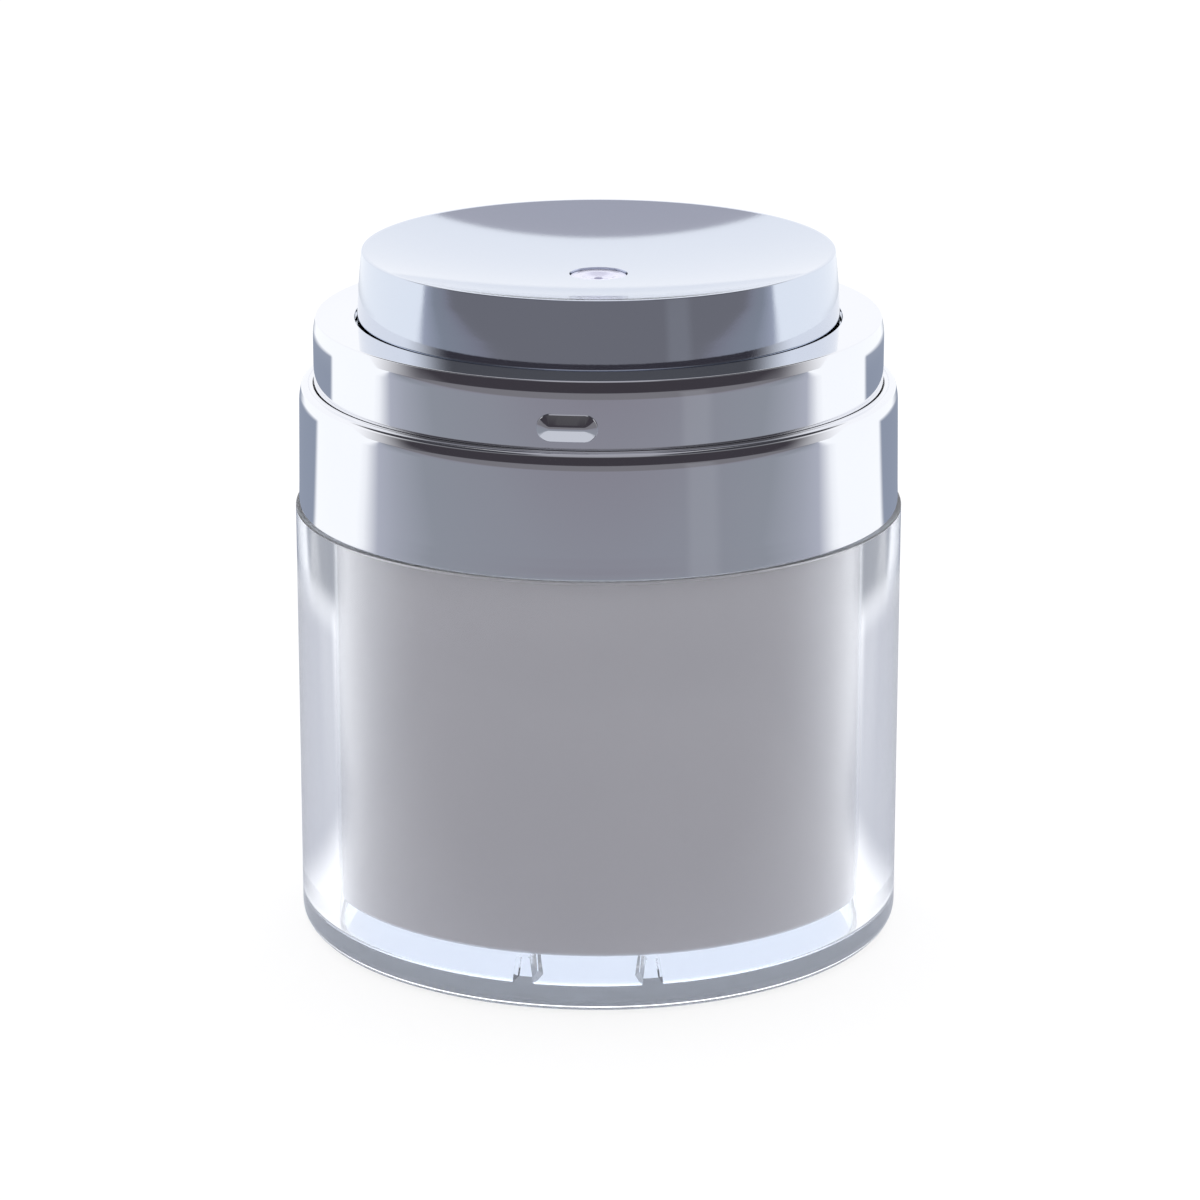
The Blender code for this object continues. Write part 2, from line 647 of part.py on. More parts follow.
def return_spring(material, carrier):
    """A wire helix between the stem guide and the plate's core, its turns evenly spread."""
    coil_radius = CORE_HUB_RADIUS + SPRING_CLEAR + SPRING_WIRE_RADIUS
    length = SPRING_TOP - SPRING_FOOT
    climb = length - 2 * SPRING_WIRE_RADIUS
    count = round(SPRING_TURNS * SPRING_POINTS_PER_TURN)
    curve = bpy.data.curves.new("return_spring", "CURVE")
    curve.dimensions = "3D"
    curve.bevel_depth = SPRING_WIRE_RADIUS
    curve.bevel_resolution = 1
    curve.use_fill_caps = True
    spline = curve.splines.new("POLY")
    spline.points.add(count)
    for number, point in enumerate(spline.points):
        angle = math.tau * SPRING_TURNS * number / count
        height = SPRING_WIRE_RADIUS + climb * number / count
        point.co = (coil_radius * math.cos(angle), coil_radius * math.sin(angle), height, 1)
    rest_gap = climb / SPRING_TURNS - 2 * SPRING_WIRE_RADIUS
    pressed_gap = (climb - STROKE) / SPRING_TURNS - 2 * SPRING_WIRE_RADIUS
    print(f"return_spring gap: {rest_gap * 1000:.2f} mm at rest, {pressed_gap * 1000:.2f} mm pressed")
    curve.materials.append(material)
    spring = bpy.data.objects.new("return_spring", curve)
    bpy.context.scene.collection.objects.link(spring)
    spring.parent = carrier
    spring.location.z = SPRING_FOOT - carrier.location.z


def plate_core(material, carrier):
    """The hub under the dish that takes the stem from below and holds the outlet valve."""
    base = HUB_FOOT
    seat = OUTLET_SEAT - base
    socket_top = seat - CORE_SEAT
    flange_underside = CORE_FLANGE_UNDERSIDE - base
    top = PLATE_CORE_TOP - base
    corners = [
        (STEM_SOCKET_RADIUS, 0),
        (CORE_HUB_RADIUS, 0),
        (CORE_HUB_RADIUS, flange_underside),
        (CORE_FLANGE_RADIUS, flange_underside),
        (CORE_FLANGE_RADIUS, top),
        (OUTLET_CHAMBER_RADIUS, top),
        (OUTLET_CHAMBER_RADIUS, seat),
        (CORE_PASSAGE, seat),
        (CORE_PASSAGE, socket_top),
        (STEM_SOCKET_RADIUS, socket_top),
    ]
    turned("plate_core", corners, material, base, carrier, SMALL_SEGMENTS)


def outlet_valve(material, carrier):
    """A disc over the passage, with a nib that reaches up towards the orifice."""
    corners = [
        (0, 0),
        (OUTLET_VALVE_RADIUS, 0),
        (OUTLET_VALVE_RADIUS, OUTLET_VALVE_DISC),
        (OUTLET_NIB_RADIUS, OUTLET_VALVE_DISC),
        (OUTLET_NIB_RADIUS / 2, OUTLET_VALVE_DISC + OUTLET_NIB_HEIGHT),
        (0, OUTLET_VALVE_DISC + OUTLET_NIB_HEIGHT),
    ]
    turned("outlet_valve", corners, material, OUTLET_VALVE_UNDERSIDE, carrier, SMALL_SEGMENTS)


def nozzle_tip(material, carrier):
    """The round insert in the middle of the dish, with a shallow dimple round the orifice."""
    base = TIP_HEAD_UNDERSIDE - TIP_SPIGOT
    head = TIP_SPIGOT
    top = dish_height(TIP_RADIUS) - TIP_SUNK - base
    spigot_radius = OUTLET_CHAMBER_RADIUS - SEAT_GAP
    corners = [
        (ORIFICE_RADIUS, 0),
        (spigot_radius, 0),
        (spigot_radius, head),
        (TIP_RADIUS, head),
        (TIP_RADIUS, top),
        (TIP_DIMPLE_RADIUS, top),
        (ORIFICE_RADIUS, top - TIP_DIMPLE_DEPTH),
    ]
    turned("nozzle_tip", corners, material, base, carrier, SMALL_SEGMENTS)


def plate_side():
    """The plate's outer side from the rim down: a soft crown, a straight stretch and a flare at the foot."""
    top = PLATE_TOP - PLATE_FOOT
    flare_foot = SHOULDER_TOP + PLATE_FOOT_ABOVE_SHOULDER - PLATE_FOOT
    points = []
    for step in range(1, PROFILE_STEPS + 1):
        angle = math.pi / 2 * step / PROFILE_STEPS
        swell = (PLATE_SIDE_RADIUS - PLATE_TOP_RADIUS) * math.sin(angle)
        points.append((PLATE_TOP_RADIUS + swell, top - PLATE_CROWN_HEIGHT * step / PROFILE_STEPS))
    for step in range(PROFILE_STEPS + 1):
        angle = math.pi / 2 * step / PROFILE_STEPS
        spread = (PLATE_FOOT_RADIUS - PLATE_SIDE_RADIUS) * (1 - math.cos(angle))
        points.append((PLATE_SIDE_RADIUS + spread, flare_foot + PLATE_FLARE_HEIGHT * (1 - math.sin(angle))))
    return points


def press_plate(material, carrier):
    """The dished plate, with a flange that catches under the shoulder and a socket for its core."""
    top = PLATE_TOP - PLATE_FOOT
    dish_edge = PLATE_TOP_RADIUS - PLATE_RIM_WIDTH
    skirt_bore = PLATE_SIDE_RADIUS - PLATE_WALL
    socket_bore = CORE_FLANGE_RADIUS + SEAT_GAP
    socket_radius = socket_bore + PLATE_SOCKET_WALL
    socket_foot = PLATE_CORE_TOP - PLATE_SOCKET_DEPTH - PLATE_FOOT
    reach = dish_edge - PLATE_HOLE_RADIUS
    dish = [PLATE_HOLE_RADIUS + reach * step / DISH_STEPS for step in range(DISH_STEPS)]
    drop = PLATE_FOOT + PLATE_WALL
    corners = [(radius, dish_height(radius) - PLATE_FOOT) for radius in dish]
    corners += [(dish_edge, top), (PLATE_TOP_RADIUS, top, PLATE_RIM_ROUND), *plate_side()]
    corners += [
        (PLATE_FOOT_RADIUS, PLATE_FLANGE),
        (PLATE_FLANGE_RADIUS, PLATE_FLANGE),
        (PLATE_FLANGE_RADIUS, 0),
        (skirt_bore, 0),
        (skirt_bore, top - PLATE_CROWN_HEIGHT),
    ]
    outer = [radius for radius in reversed(dish) if radius > socket_radius]
    inner = [radius for radius in reversed(dish) if radius < socket_bore]
    corners += [(radius, dish_height(radius) - drop) for radius in (dish_edge - PLATE_WALL, *outer[1:])]
    corners += [
        (socket_radius, dish_height(socket_radius) - drop),
        (socket_radius, socket_foot),
        (socket_bore, socket_foot),
        (socket_bore, dish_height(socket_bore) - drop),
    ]
    corners += [(radius, dish_height(radius) - drop) for radius in inner]
    turned("press_plate", corners, material, PLATE_FOOT, carrier)


def collar_core(material, carrier):
    """The threaded ring that clamps the deck and carries both bright sleeves."""
    base = CORE_FOOT
    corners = [
        (CORE_THREAD_ROOT, 0),
        (CORE_LOWER_RADIUS, 0),
        (CORE_LOWER_RADIUS, CORE_LEDGE - base),
        (CORE_UPPER_RADIUS, CORE_LEDGE - base),
        (CORE_UPPER_RADIUS, CORE_TOP - base),
        (CORE_UPPER_BORE, CORE_TOP - base),
        (CORE_UPPER_BORE, CORE_CLAMP - base),
        (CORE_THREAD_ROOT, CORE_CLAMP - base),
    ]
    core = turned("collar_core", corners, material, base, carrier)
    ridge = thread_mesh(CORE_THREAD_ROOT, NECK_RADIUS + THREAD_GAP)
    start = CUP_FLANGE_TOP + THREAD_START + THREAD_PITCH / 2
    combine(core, helper("collar_thread", ridge, start), "UNION")


def nub_mesh(angle):
    """One snap nub for an overcap: a low pill with sloping flanks and a narrow ridge."""
    levels = ((-NUB_OVERLAP, 0), (NUB_EDGE, 0), (NUB_PROUD, (NUB_HEIGHT - NUB_RIDGE) / 2))
    mesh = bmesh.new()
    rings = []
    for outward, inset in levels:
        ring = []
        for step in range(NUB_SEGMENTS):
            turn = math.tau * (step + 0.5) / NUB_SEGMENTS
            across = (NUB_HEIGHT / 2 - inset) * math.cos(turn)
            across += math.copysign((NUB_LENGTH - NUB_HEIGHT) / 2, across)
            upward = (NUB_HEIGHT / 2 - inset) * math.sin(turn)
            ring.append(mesh.verts.new((across, -SLEEVE_RADIUS - outward, upward)))
        rings.append(ring)
    for lower, upper in zip(rings, rings[1:]):
        for step in range(NUB_SEGMENTS):
            after = (step + 1) % NUB_SEGMENTS
            mesh.faces.new((lower[step], lower[after], upper[after], upper[step]))
    mesh.faces.new(rings[0])
    mesh.faces.new(rings[-1])
    bmesh.ops.recalc_face_normals(mesh, faces=mesh.faces)
    bmesh.ops.rotate(mesh, matrix=Matrix.Rotation(angle, 3, "Z"), verts=mesh.verts)
    return mesh


def neck_sleeve(material, carrier):
    """The upper bright sleeve, whose top is the flat shoulder round the plate."""
    corners = [
        (SLEEVE_BORE, 0),
        (SLEEVE_RADIUS, 0),
        (SLEEVE_RADIUS, SLEEVE_HEIGHT - SLEEVE_CROWN_HEIGHT),
        (SLEEVE_RADIUS - SLEEVE_CROWN, SLEEVE_HEIGHT, SLEEVE_EDGE_ROUND),
        (OPENING_RADIUS, SLEEVE_HEIGHT, SEAT_GAP),
        (OPENING_RADIUS, SLEEVE_HEIGHT - SLEEVE_WALL),
        (SLEEVE_BORE, SLEEVE_HEIGHT - SLEEVE_WALL),
    ]
    sleeve = turned("neck_sleeve", corners, material, SLEEVE_FOOT, carrier)
    for number in range(NUBS):
        angle = math.tau * number / NUBS + NUB_FRONT_ANGLE
        nub = helper(f"snap_nub_{number + 1}", nub_mesh(angle), SLEEVE_FOOT + NUB_ABOVE_SLEEVE_FOOT)
        combine(sleeve, nub, "UNION")


def shoulder_band(material, carrier):
    """The lower bright sleeve, with a ledge that an overcap sits on and a bead round its foot."""
    height = BAND_TOP - BAND_FOOT
    bore = BAND_TOP_RADIUS - BAND_WALL
    groove = BAND_OPENING + LEDGE_GROOVE_FROM_OPENING
    corners = [
        (bore, 0),
        (BAND_RADIUS, 0),
        (BAND_RADIUS + BEAD_PROUD, BEAD_HEIGHT / 3),
        (BAND_RADIUS + BEAD_PROUD, BEAD_HEIGHT * 2 / 3),
        (BAND_RADIUS, BEAD_HEIGHT),
        (BAND_TOP_RADIUS, height - BAND_CROWN_HEIGHT),
        (BAND_TOP_RADIUS - BAND_CROWN, height, BAND_EDGE_ROUND),
        (groove + LEDGE_GROOVE, height),
        (groove + LEDGE_GROOVE, height - LEDGE_GROOVE_DEPTH),
        (groove, height - LEDGE_GROOVE_DEPTH),
        (groove, height),
        (BAND_OPENING, height),
        (BAND_OPENING, height - BAND_LEDGE),
        (bore, height - BAND_LEDGE),
    ]
    turned("shoulder_band", corners, material, BAND_FOOT, carrier)


def build():
    clear_scene()
    acrylic = finish("clear_acrylic", (0.93, 0.95, 0.97), 0.02, transmission=1.0)
    white = finish("white_polypropylene", (0.80, 0.80, 0.81), 0.35)
    natural = finish("natural_polyethylene", (0.86, 0.86, 0.84), 0.45)
    seal = finish("grey_seal", (0.55, 0.56, 0.58), 0.6)
    steel = finish("spring_steel", (0.62, 0.63, 0.65), 0.25, metallic=1.0)
    satin = finish("satin_silver", (0.74, 0.75, 0.78), 0.28, metallic=1.0)
    bright = finish("bright_silver", (0.86, 0.87, 0.89), 0.06, metallic=1.0)
    pearl = finish("outlet_pearl", (0.78, 0.78, 0.84), 0.3)
    grey = finish("pearl_grey_polypropylene", (0.42, 0.40, 0.43), 0.3)

    jar = body("jar", 0)
    follower = body("follower", FOLLOWER_UNDERSIDE)
    head = body("pump_head", DECK_UNDERSIDE)
    collar = body("collar", CORE_FOOT)
    plunger = body("plunger", STEM_FOOT_UNDERSIDE)
    inlet = body("inlet", INLET_SEAT)
    outlet = body("outlet", OUTLET_VALVE_UNDERSIDE)

    outer_jar(acrylic, jar)
    inner_cup(grey, jar)
    follower_piston(natural, follower)
    pump_deck(white, head)
    gaskets(seal, head)
    pump_housing(white, head)
    stem_guide(white, head)
    return_spring(steel, head)
    inlet_valve(natural, inlet)
    stem(white, plunger)
    pump_piston(natural, plunger)
    plate_core(white, plunger)
    nozzle_tip(pearl, plunger)
    press_plate(satin, plunger)
    outlet_valve(natural, outlet)
    collar_core(white, collar)
    neck_sleeve(bright, collar)
    shoulder_band(bright, collar)


build()
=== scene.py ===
"""Airless pump jar with its overcap off: the smooth visible pieces, their finishes and the studio.

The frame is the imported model, in metres, with +Z up and the front towards -Y. The pieces' sizes below are in
millimetres, and the studio's distances are in metres.
"""

import json
import math

import bmesh
import bpy
from mathutils import Matrix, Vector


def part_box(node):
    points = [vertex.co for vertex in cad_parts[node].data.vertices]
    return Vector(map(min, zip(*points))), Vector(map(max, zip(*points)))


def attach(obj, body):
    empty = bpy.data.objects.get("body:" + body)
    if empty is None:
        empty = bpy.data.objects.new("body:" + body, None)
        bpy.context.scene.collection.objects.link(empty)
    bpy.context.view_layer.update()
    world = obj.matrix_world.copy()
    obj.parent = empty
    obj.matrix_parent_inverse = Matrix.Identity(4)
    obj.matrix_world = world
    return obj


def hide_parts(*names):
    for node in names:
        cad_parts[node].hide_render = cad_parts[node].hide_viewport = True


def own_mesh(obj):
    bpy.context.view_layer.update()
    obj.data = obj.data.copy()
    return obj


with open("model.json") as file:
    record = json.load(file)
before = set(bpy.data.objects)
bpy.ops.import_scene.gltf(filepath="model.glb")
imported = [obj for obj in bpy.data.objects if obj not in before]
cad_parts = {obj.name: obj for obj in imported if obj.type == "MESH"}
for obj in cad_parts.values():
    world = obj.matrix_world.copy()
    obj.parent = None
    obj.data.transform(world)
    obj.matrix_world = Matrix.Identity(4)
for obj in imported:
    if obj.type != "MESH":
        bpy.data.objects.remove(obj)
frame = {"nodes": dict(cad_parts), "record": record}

MM = 0.001
CREASE = math.radians(32)
TURN_STEPS = 192
CORNER_STEPS = 5

JAR_WALL = 3.9
JAR_SHOULDER = 1.7
JAR_FLOOR = 2.0
JAR_RECESS = 0.4
JAR_SEAM = 0.06

RIB_PAIRS = 3
RIB_SIZE = (5.4, 2.4, 4.0)
RIB_TAPER = 0.58
RIB_ROUNDING = 0.22
RIB_MIDDLE = 3.0
RIB_INWARDS = 0.9
RIB_SPREAD = math.radians(26.3)
RIB_TURN = math.radians(-2.2)

CUP_VENT = 1.5
CUP_BORE = 26.5
CUP_RADIUS = 27.8
CUP_NECK = 28.0
CUP_FLANGE = 30.0
CUP_FLOOR = 1.4

THREAD_CREST = 28.8
THREAD_START = 49.05
THREAD_PITCH = 3.0
THREAD_TURNS = 1.2
THREAD_ROOT = 0.4

BAND_BORE = 30.85
LEDGE_BORE = 30.02
LEDGE_DEPTH = 0.75

SLEEVE_RADIUS = 29.9
SLEEVE_BORE = 29.2
SLEEVE_OPENING = 25.5
SLEEVE_WEB = 0.7

NUBS = 3
NUB_TURN = math.radians(-6)
NUB_HEIGHT = 3.0
NUB_RADIUS = 1.45
NUB_STRETCH = 1.65
NUB_WALL = 0.44
NUB_ROOT = 0.4
NUB_SEGMENTS = 32
NUB_SLICE = 0.45
NUB_INSETS = ((0.03, 0.06), (0.07, 0.085), (0.92, 0.24), (0.20, 0.04), (0.16, 0.02))

DISH_RIM = 24.35
DISH_DEPTH = 2.8
DISH_HOLE = 3.05
DISH_SPHERE = (DISH_RIM**2 + DISH_DEPTH**2) / (2 * DISH_DEPTH)
DISH_STEPS = 28
PLATE_WALL = 1.2
PLATE_INSIDE = 23.85
PLATE_FLANGE = 27.15
SOCKET_RADIUS = 10.35
SOCKET_BORE = 9.35
SOCKET_FOOT = 67.35

TIP_STEPS = 96
TIP_SPIGOT = 2.25
TIP_RADIUS = 2.97
TIP_ORIFICE = 0.45

SPRING_TURNS = 4
SPRING_STEPS = 48
WIRE_RADIUS = 0.35
WIRE_SEGMENTS = 12

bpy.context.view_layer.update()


# ---------------------------------------------------------------- shader nodes


class Number:
    """A number or colour worked out over a surface. Arithmetic on it adds Math nodes."""

    def __init__(self, tree, socket):
        self.tree = tree
        self.socket = socket

    def maths(self, operation, *values):
        return self.tree.node("ShaderNodeMath", {"operation": operation}, dict(enumerate(values)))

    def __add__(self, other):
        return self.maths("ADD", self, other)

    def __sub__(self, other):
        return self.maths("SUBTRACT", self, other)

    def __rsub__(self, other):
        return self.maths("SUBTRACT", other, self)

    def __mul__(self, other):
        return self.maths("MULTIPLY", self, other)

    __radd__ = __add__
    __rmul__ = __mul__

    def size(self):
        return self.maths("ABSOLUTE", self)

    def between(self, low, high, step="SMOOTHSTEP"):
        """0 below low, 1 above high and a soft step between them."""
        sockets = {"Value": self, "From Min": low, "From Max": high}
        return self.tree.node("ShaderNodeMapRange", {"interpolation_type": step}, sockets)


class Tree:
    """The node tree of one material or of the world."""

    def __init__(self, owner):
        owner.use_nodes = True
        self.nodes = owner.node_tree.nodes
        self.links = owner.node_tree.links
        self.nodes.clear()

    def node(self, kind, settings, sockets, output=0):
        """A node with its settings and its sockets' values or links. Returns the output that is asked for."""
        made = self.nodes.new(kind)
        for name, value in settings.items():
            setattr(made, name, value)
        for name, value in sockets.items():
            if isinstance(value, Number):
                self.links.new(value.socket, made.inputs[name])
            else:
                made.inputs[name].default_value = value
        return Number(self, made.outputs[output]) if made.outputs else made

    def point(self, space="Object"):
        """The point on the piece, in metres from the frame's origin, or the world's direction."""
        return self.node("ShaderNodeTexCoord", {}, {}, space)

    def stretched_point(self, stretch=(1, 1, 1)):
        return self.node("ShaderNodeMapping", {}, {"Vector": self.point(), "Scale": stretch})

    def parts(self, point):
        """The X, Y and Z of a point or direction."""
        x = self.node("ShaderNodeSeparateXYZ", {}, {"Vector": point}, "X")
        outputs = x.socket.node.outputs
        return x, Number(self, outputs["Y"]), Number(self, outputs["Z"])

    def noise(self, point, scale, detail, roughness=0.5):
        sockets = {"Vector": point, "Scale": scale, "Detail": detail, "Roughness": roughness}
        return self.node("ShaderNodeTexNoise", {}, sockets, "Fac")

    def blend(self, amount, first, second):
        """A colour between two colours, which are given as three figures or worked out."""
        first, second = (colour if isinstance(colour, Number) else (*colour, 1) for colour in (first, second))
        return self.node("ShaderNodeMix", {"data_type": "RGBA"}, {0: amount, 6: first, 7: second}, 2)

    def ramp(self, amount, stops):
        """A colour between the (position, colour) stops."""
        tone = self.node("ShaderNodeValToRGB", {}, {"Fac": amount})
        elements = tone.socket.node.color_ramp.elements
        while len(elements) < len(stops):
            elements.new(1)
        for element, (position, colour) in zip(elements, stops):
            element.position = position
            element.color = (*colour, 1)
        return tone

    def bump(self, height, distance, strength):
        sockets = {"Height": height, "Distance": distance, "Strength": strength}
        return self.node("ShaderNodeBump", {}, sockets)

    def light_path(self):
        """1 for what the camera sees, for what is mirrored and for what is seen through clear acrylic."""
        seen = self.node("ShaderNodeLightPath", {}, {}, "Is Camera Ray")
        outputs = seen.socket.node.outputs
        through = Number(self, outputs["Is Transmission Ray"])
        return seen, Number(self, outputs["Is Glossy Ray"]) * (1 - through), through

    def glow(self, colour):
        return self.node("ShaderNodeEmission", {}, {"Color": colour, "Strength": 1.0})

    def surface(self, shader, kind="ShaderNodeOutputMaterial"):
        self.node(kind, {}, {"Surface": shader})


def finish(build):
    """A material named after build, which gets its node tree and returns its Principled sockets."""
    material = bpy.data.materials.new(build.__name__)
    tree = Tree(material)
    tree.surface(tree.node("ShaderNodeBsdfPrincipled", {}, build(tree)))
    return material


# ------------------------------------------------------------------- finishes


def clear_acrylic(tree):
    """Polished, but for a satin underside and the part that the lower sleeve hides."""
    point = tree.stretched_point()
    haze = tree.noise(point, scale=420, detail=4).between(0.52, 0.75)
    _, _, height = tree.parts(point)
    underside = 1 - height.between(0.0004, 0.0006)
    frosted = 0.42 * underside + 0.50 * height.between(0.0458, 0.0459)
    return {
        "Base Color": tree.blend(underside, (0.975, 0.985, 1.0), (0.88, 0.94, 1.0)),
        "Roughness": 0.004 + 0.012 * haze + frosted,
        "IOR": 1.49,
        "Transmission Weight": 1.0,
    }


def pearl_grey_polypropylene(tree):
    point = tree.stretched_point()
    cloud = tree.noise(point, scale=45, detail=2)
    flake = tree.noise(point, scale=5200, detail=1)
    return {
        "Base Color": tree.blend(cloud, (0.395, 0.385, 0.415), (0.435, 0.42, 0.445)),
        "Roughness": 0.26 + 0.06 * flake,
        "IOR": 1.5,
        "Coat Weight": 1.0,
        "Coat Roughness": 0.10,
        "Coat IOR": 1.7,
        "Normal": tree.bump(flake, distance=0.00001, strength=0.25),
    }


def bright_silver(tree):
    point = tree.stretched_point()
    drift = tree.noise(point, scale=60, detail=2)
    dust = tree.noise(point, scale=1400, detail=3).between(0.60, 0.80)
    return {
        "Base Color": tree.blend(drift, (0.85, 0.86, 0.895), (0.89, 0.895, 0.915)),
        "Metallic": 1.0,
        "Roughness": 0.035 + 0.03 * dust,
    }


def satin_silver(tree):
    point = tree.stretched_point()
    grain = tree.noise(point, scale=3800, detail=3, roughness=0.6)
    drift = tree.noise(point, scale=55, detail=2)
    return {
        "Base Color": tree.blend(drift, (0.65, 0.695, 0.785), (0.675, 0.72, 0.80)),
        "Metallic": 1.0,
        "Roughness": 0.05 + 0.03 * grain,
        "Normal": tree.bump(grain, distance=0.000006, strength=0.3),
    }


def outlet_pearl(tree):
    sheen = tree.noise(tree.stretched_point(), scale=380, detail=2)
    return {
        "Base Color": tree.blend(sheen, (0.60, 0.60, 0.73), (0.70, 0.69, 0.81)),
        "Metallic": 0.35,
        "Roughness": 0.22 + 0.08 * sheen,
        "Coat Weight": 0.3,
    }


def white_polypropylene(tree):
    point = tree.stretched_point()
    flow = tree.noise(point, scale=90, detail=3)
    skin = tree.noise(point, scale=4200, detail=2)
    return {
        "Base Color": tree.blend(flow, (0.77, 0.77, 0.78), (0.83, 0.83, 0.835)),
        "Roughness": 0.34 + 0.10 * skin,
        "Normal": tree.bump(skin, distance=0.00002, strength=0.3),
    }


def natural_polyethylene(tree):
    point = tree.stretched_point()
    flow = tree.noise(point, scale=140, detail=3)
    skin = tree.noise(point, scale=3000, detail=3)
    return {
        "Base Color": tree.blend(flow, (0.82, 0.82, 0.79), (0.88, 0.88, 0.86)),
        "Roughness": 0.40 + 0.12 * skin,
        "Subsurface Weight": 0.15,
        "Subsurface Radius": (0.002, 0.002, 0.002),
        "Normal": tree.bump(skin, distance=0.00002, strength=0.3),
    }


def grey_seal(tree):
    cells = tree.noise(tree.stretched_point(), scale=2600, detail=4, roughness=0.65)
    return {
        "Base Color": tree.blend(cells, (0.46, 0.47, 0.49), (0.62, 0.63, 0.65)),
        "Roughness": 0.62 + 0.2 * cells,
        "Normal": tree.bump(cells, distance=0.00006, strength=0.6),
    }


def spring_steel(tree):
    drawn = tree.noise(tree.stretched_point((1, 1, 9)), scale=2400, detail=3, roughness=0.6)
    return {
        "Base Color": tree.blend(drawn, (0.55, 0.56, 0.58), (0.68, 0.69, 0.71)),
        "Metallic": 1.0,
        "Roughness": 0.22 + 0.14 * drawn,
        "Normal": tree.bump(drawn, distance=0.000008, strength=0.4),
    }


finish_builders = (
    clear_acrylic,
    pearl_grey_polypropylene,
    bright_silver,
    satin_silver,
    outlet_pearl,
    white_polypropylene,
    natural_polyethylene,
    grey_seal,
    spring_steel,
)
finishes = {build.__name__: finish(build) for build in finish_builders}
record_slots = {entry["node"]: entry["material_slot"] for entry in frame["record"]["subparts"]}


# --------------------------------------------------------------- turned pieces


def place(mesh, corners):
    """A vert in the XZ plane for each (radius, height) or (radius, height, rounding) corner."""
    return [mesh.verts.new((corner[0] * MM, 0, corner[1] * MM)) for corner in corners]


def round_off(mesh, verts, corners):
    """Rounds each vert whose corner has a rounding."""
    for vert, corner in zip(verts, corners):
        if len(corner) > 2:
            bmesh.ops.bevel(
                mesh,
                geom=[vert],
                offset=corner[2] * MM,
                offset_type="OFFSET",
                segments=CORNER_STEPS,
                profile=0.5,
                affect="VERTICES",
                material=-1,
            )


def outline(corners):
    """A new mesh with an outline through its corners. It stays open where both ends lie on the axis."""
    mesh = bmesh.new()
    verts = place(mesh, corners)
    pairs = list(zip(verts, verts[1:]))
    if corners[0][0] or corners[-1][0]:
        pairs.append((verts[-1], verts[0]))
    for pair in pairs:
        mesh.edges.new(pair)
    round_off(mesh, verts, corners)
    return mesh


def sweep(mesh, geometry, angle, steps, climb=0.0, **settings):
    """Sweeps geometry round the jar's axis by an angle, and up the axis by the climb."""
    bmesh.ops.spin(
        mesh,
        geom=geometry,
        cent=(0, 0, 0),
        axis=(0, 0, 1),
        dvec=(0, 0, climb / steps),
        angle=angle,
        steps=steps,
        **settings,
    )


def spin_round(mesh, steps=TURN_STEPS):
    """Turns a mesh's outline into a piece."""
    sweep(mesh, mesh.verts[:] + mesh.edges[:], math.tau, steps, use_merge=True)
    bmesh.ops.remove_doubles(mesh, verts=mesh.verts, dist=1e-7)
    bmesh.ops.recalc_face_normals(mesh, faces=mesh.faces)
    return mesh


def smooth(data):
    data.shade_smooth()
    data.set_sharp_from_angle(angle=CREASE)


def piece(name, mesh):
    """An object for a finished bmesh, smooth but for its creases."""
    data = bpy.data.meshes.new(name)
    mesh.to_mesh(data)
    mesh.free()
    smooth(data)
    made = bpy.data.objects.new(name, data)
    bpy.context.scene.collection.objects.link(made)
    return made


def stands_for(made, node):
    """The piece replaces a node, moves with its body and takes its finish."""
    flats = made.modifiers.new("true_flats", "WEIGHTED_NORMAL")
    flats.weight = 100
    flats.keep_sharp = True
    made.data.materials.append(finishes[record_slots[node]])
    body = next(name for name, nodes in frame["record"]["behaviour"]["bodies"].items() if node in nodes)
    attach(made, body)
    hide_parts(node)


def joined(made, tool):
    """Joins a tool's shape to the piece for good, and takes the tool away."""
    union = made.modifiers.new("joined", "BOOLEAN")
    union.object = tool
    union.operation = "UNION"
    union.solver = "EXACT"
    graph = bpy.context.evaluated_depsgraph_get()
    data = bpy.data.meshes.new_from_object(made.evaluated_get(graph))
    made.modifiers.clear()
    made.data = data
    bpy.data.objects.remove(tool)
    smooth(data)


# ----------------------------------------------------------------------- jar


def outer_jar():
    _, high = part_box("outer_jar")
    radius = high[0] / MM
    top = high[2] / MM
    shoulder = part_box("shoulder_band")[0][2] / MM - JAR_SEAM
    bore = radius - JAR_WALL
    spigot = radius - JAR_SHOULDER
    corners = [
        (0, JAR_RECESS),
        (radius - 4.2, JAR_RECESS, 0.3),
        (radius - 3.6, 0, 0.2),
        (radius, 0, 1.8),
        (radius, shoulder, 0.12),
        (spigot, shoulder, 0.1),
        (spigot, top, 0.15),
        (bore, top, 0.15),
        (bore, JAR_FLOOR, 0.6),
        (0, JAR_FLOOR),
    ]
    jar = piece("clear_jar", spin_round(outline(corners)))
    joined(jar, piece("floor_ribs", ribs(bore)))
    stands_for(jar, "outer_jar")


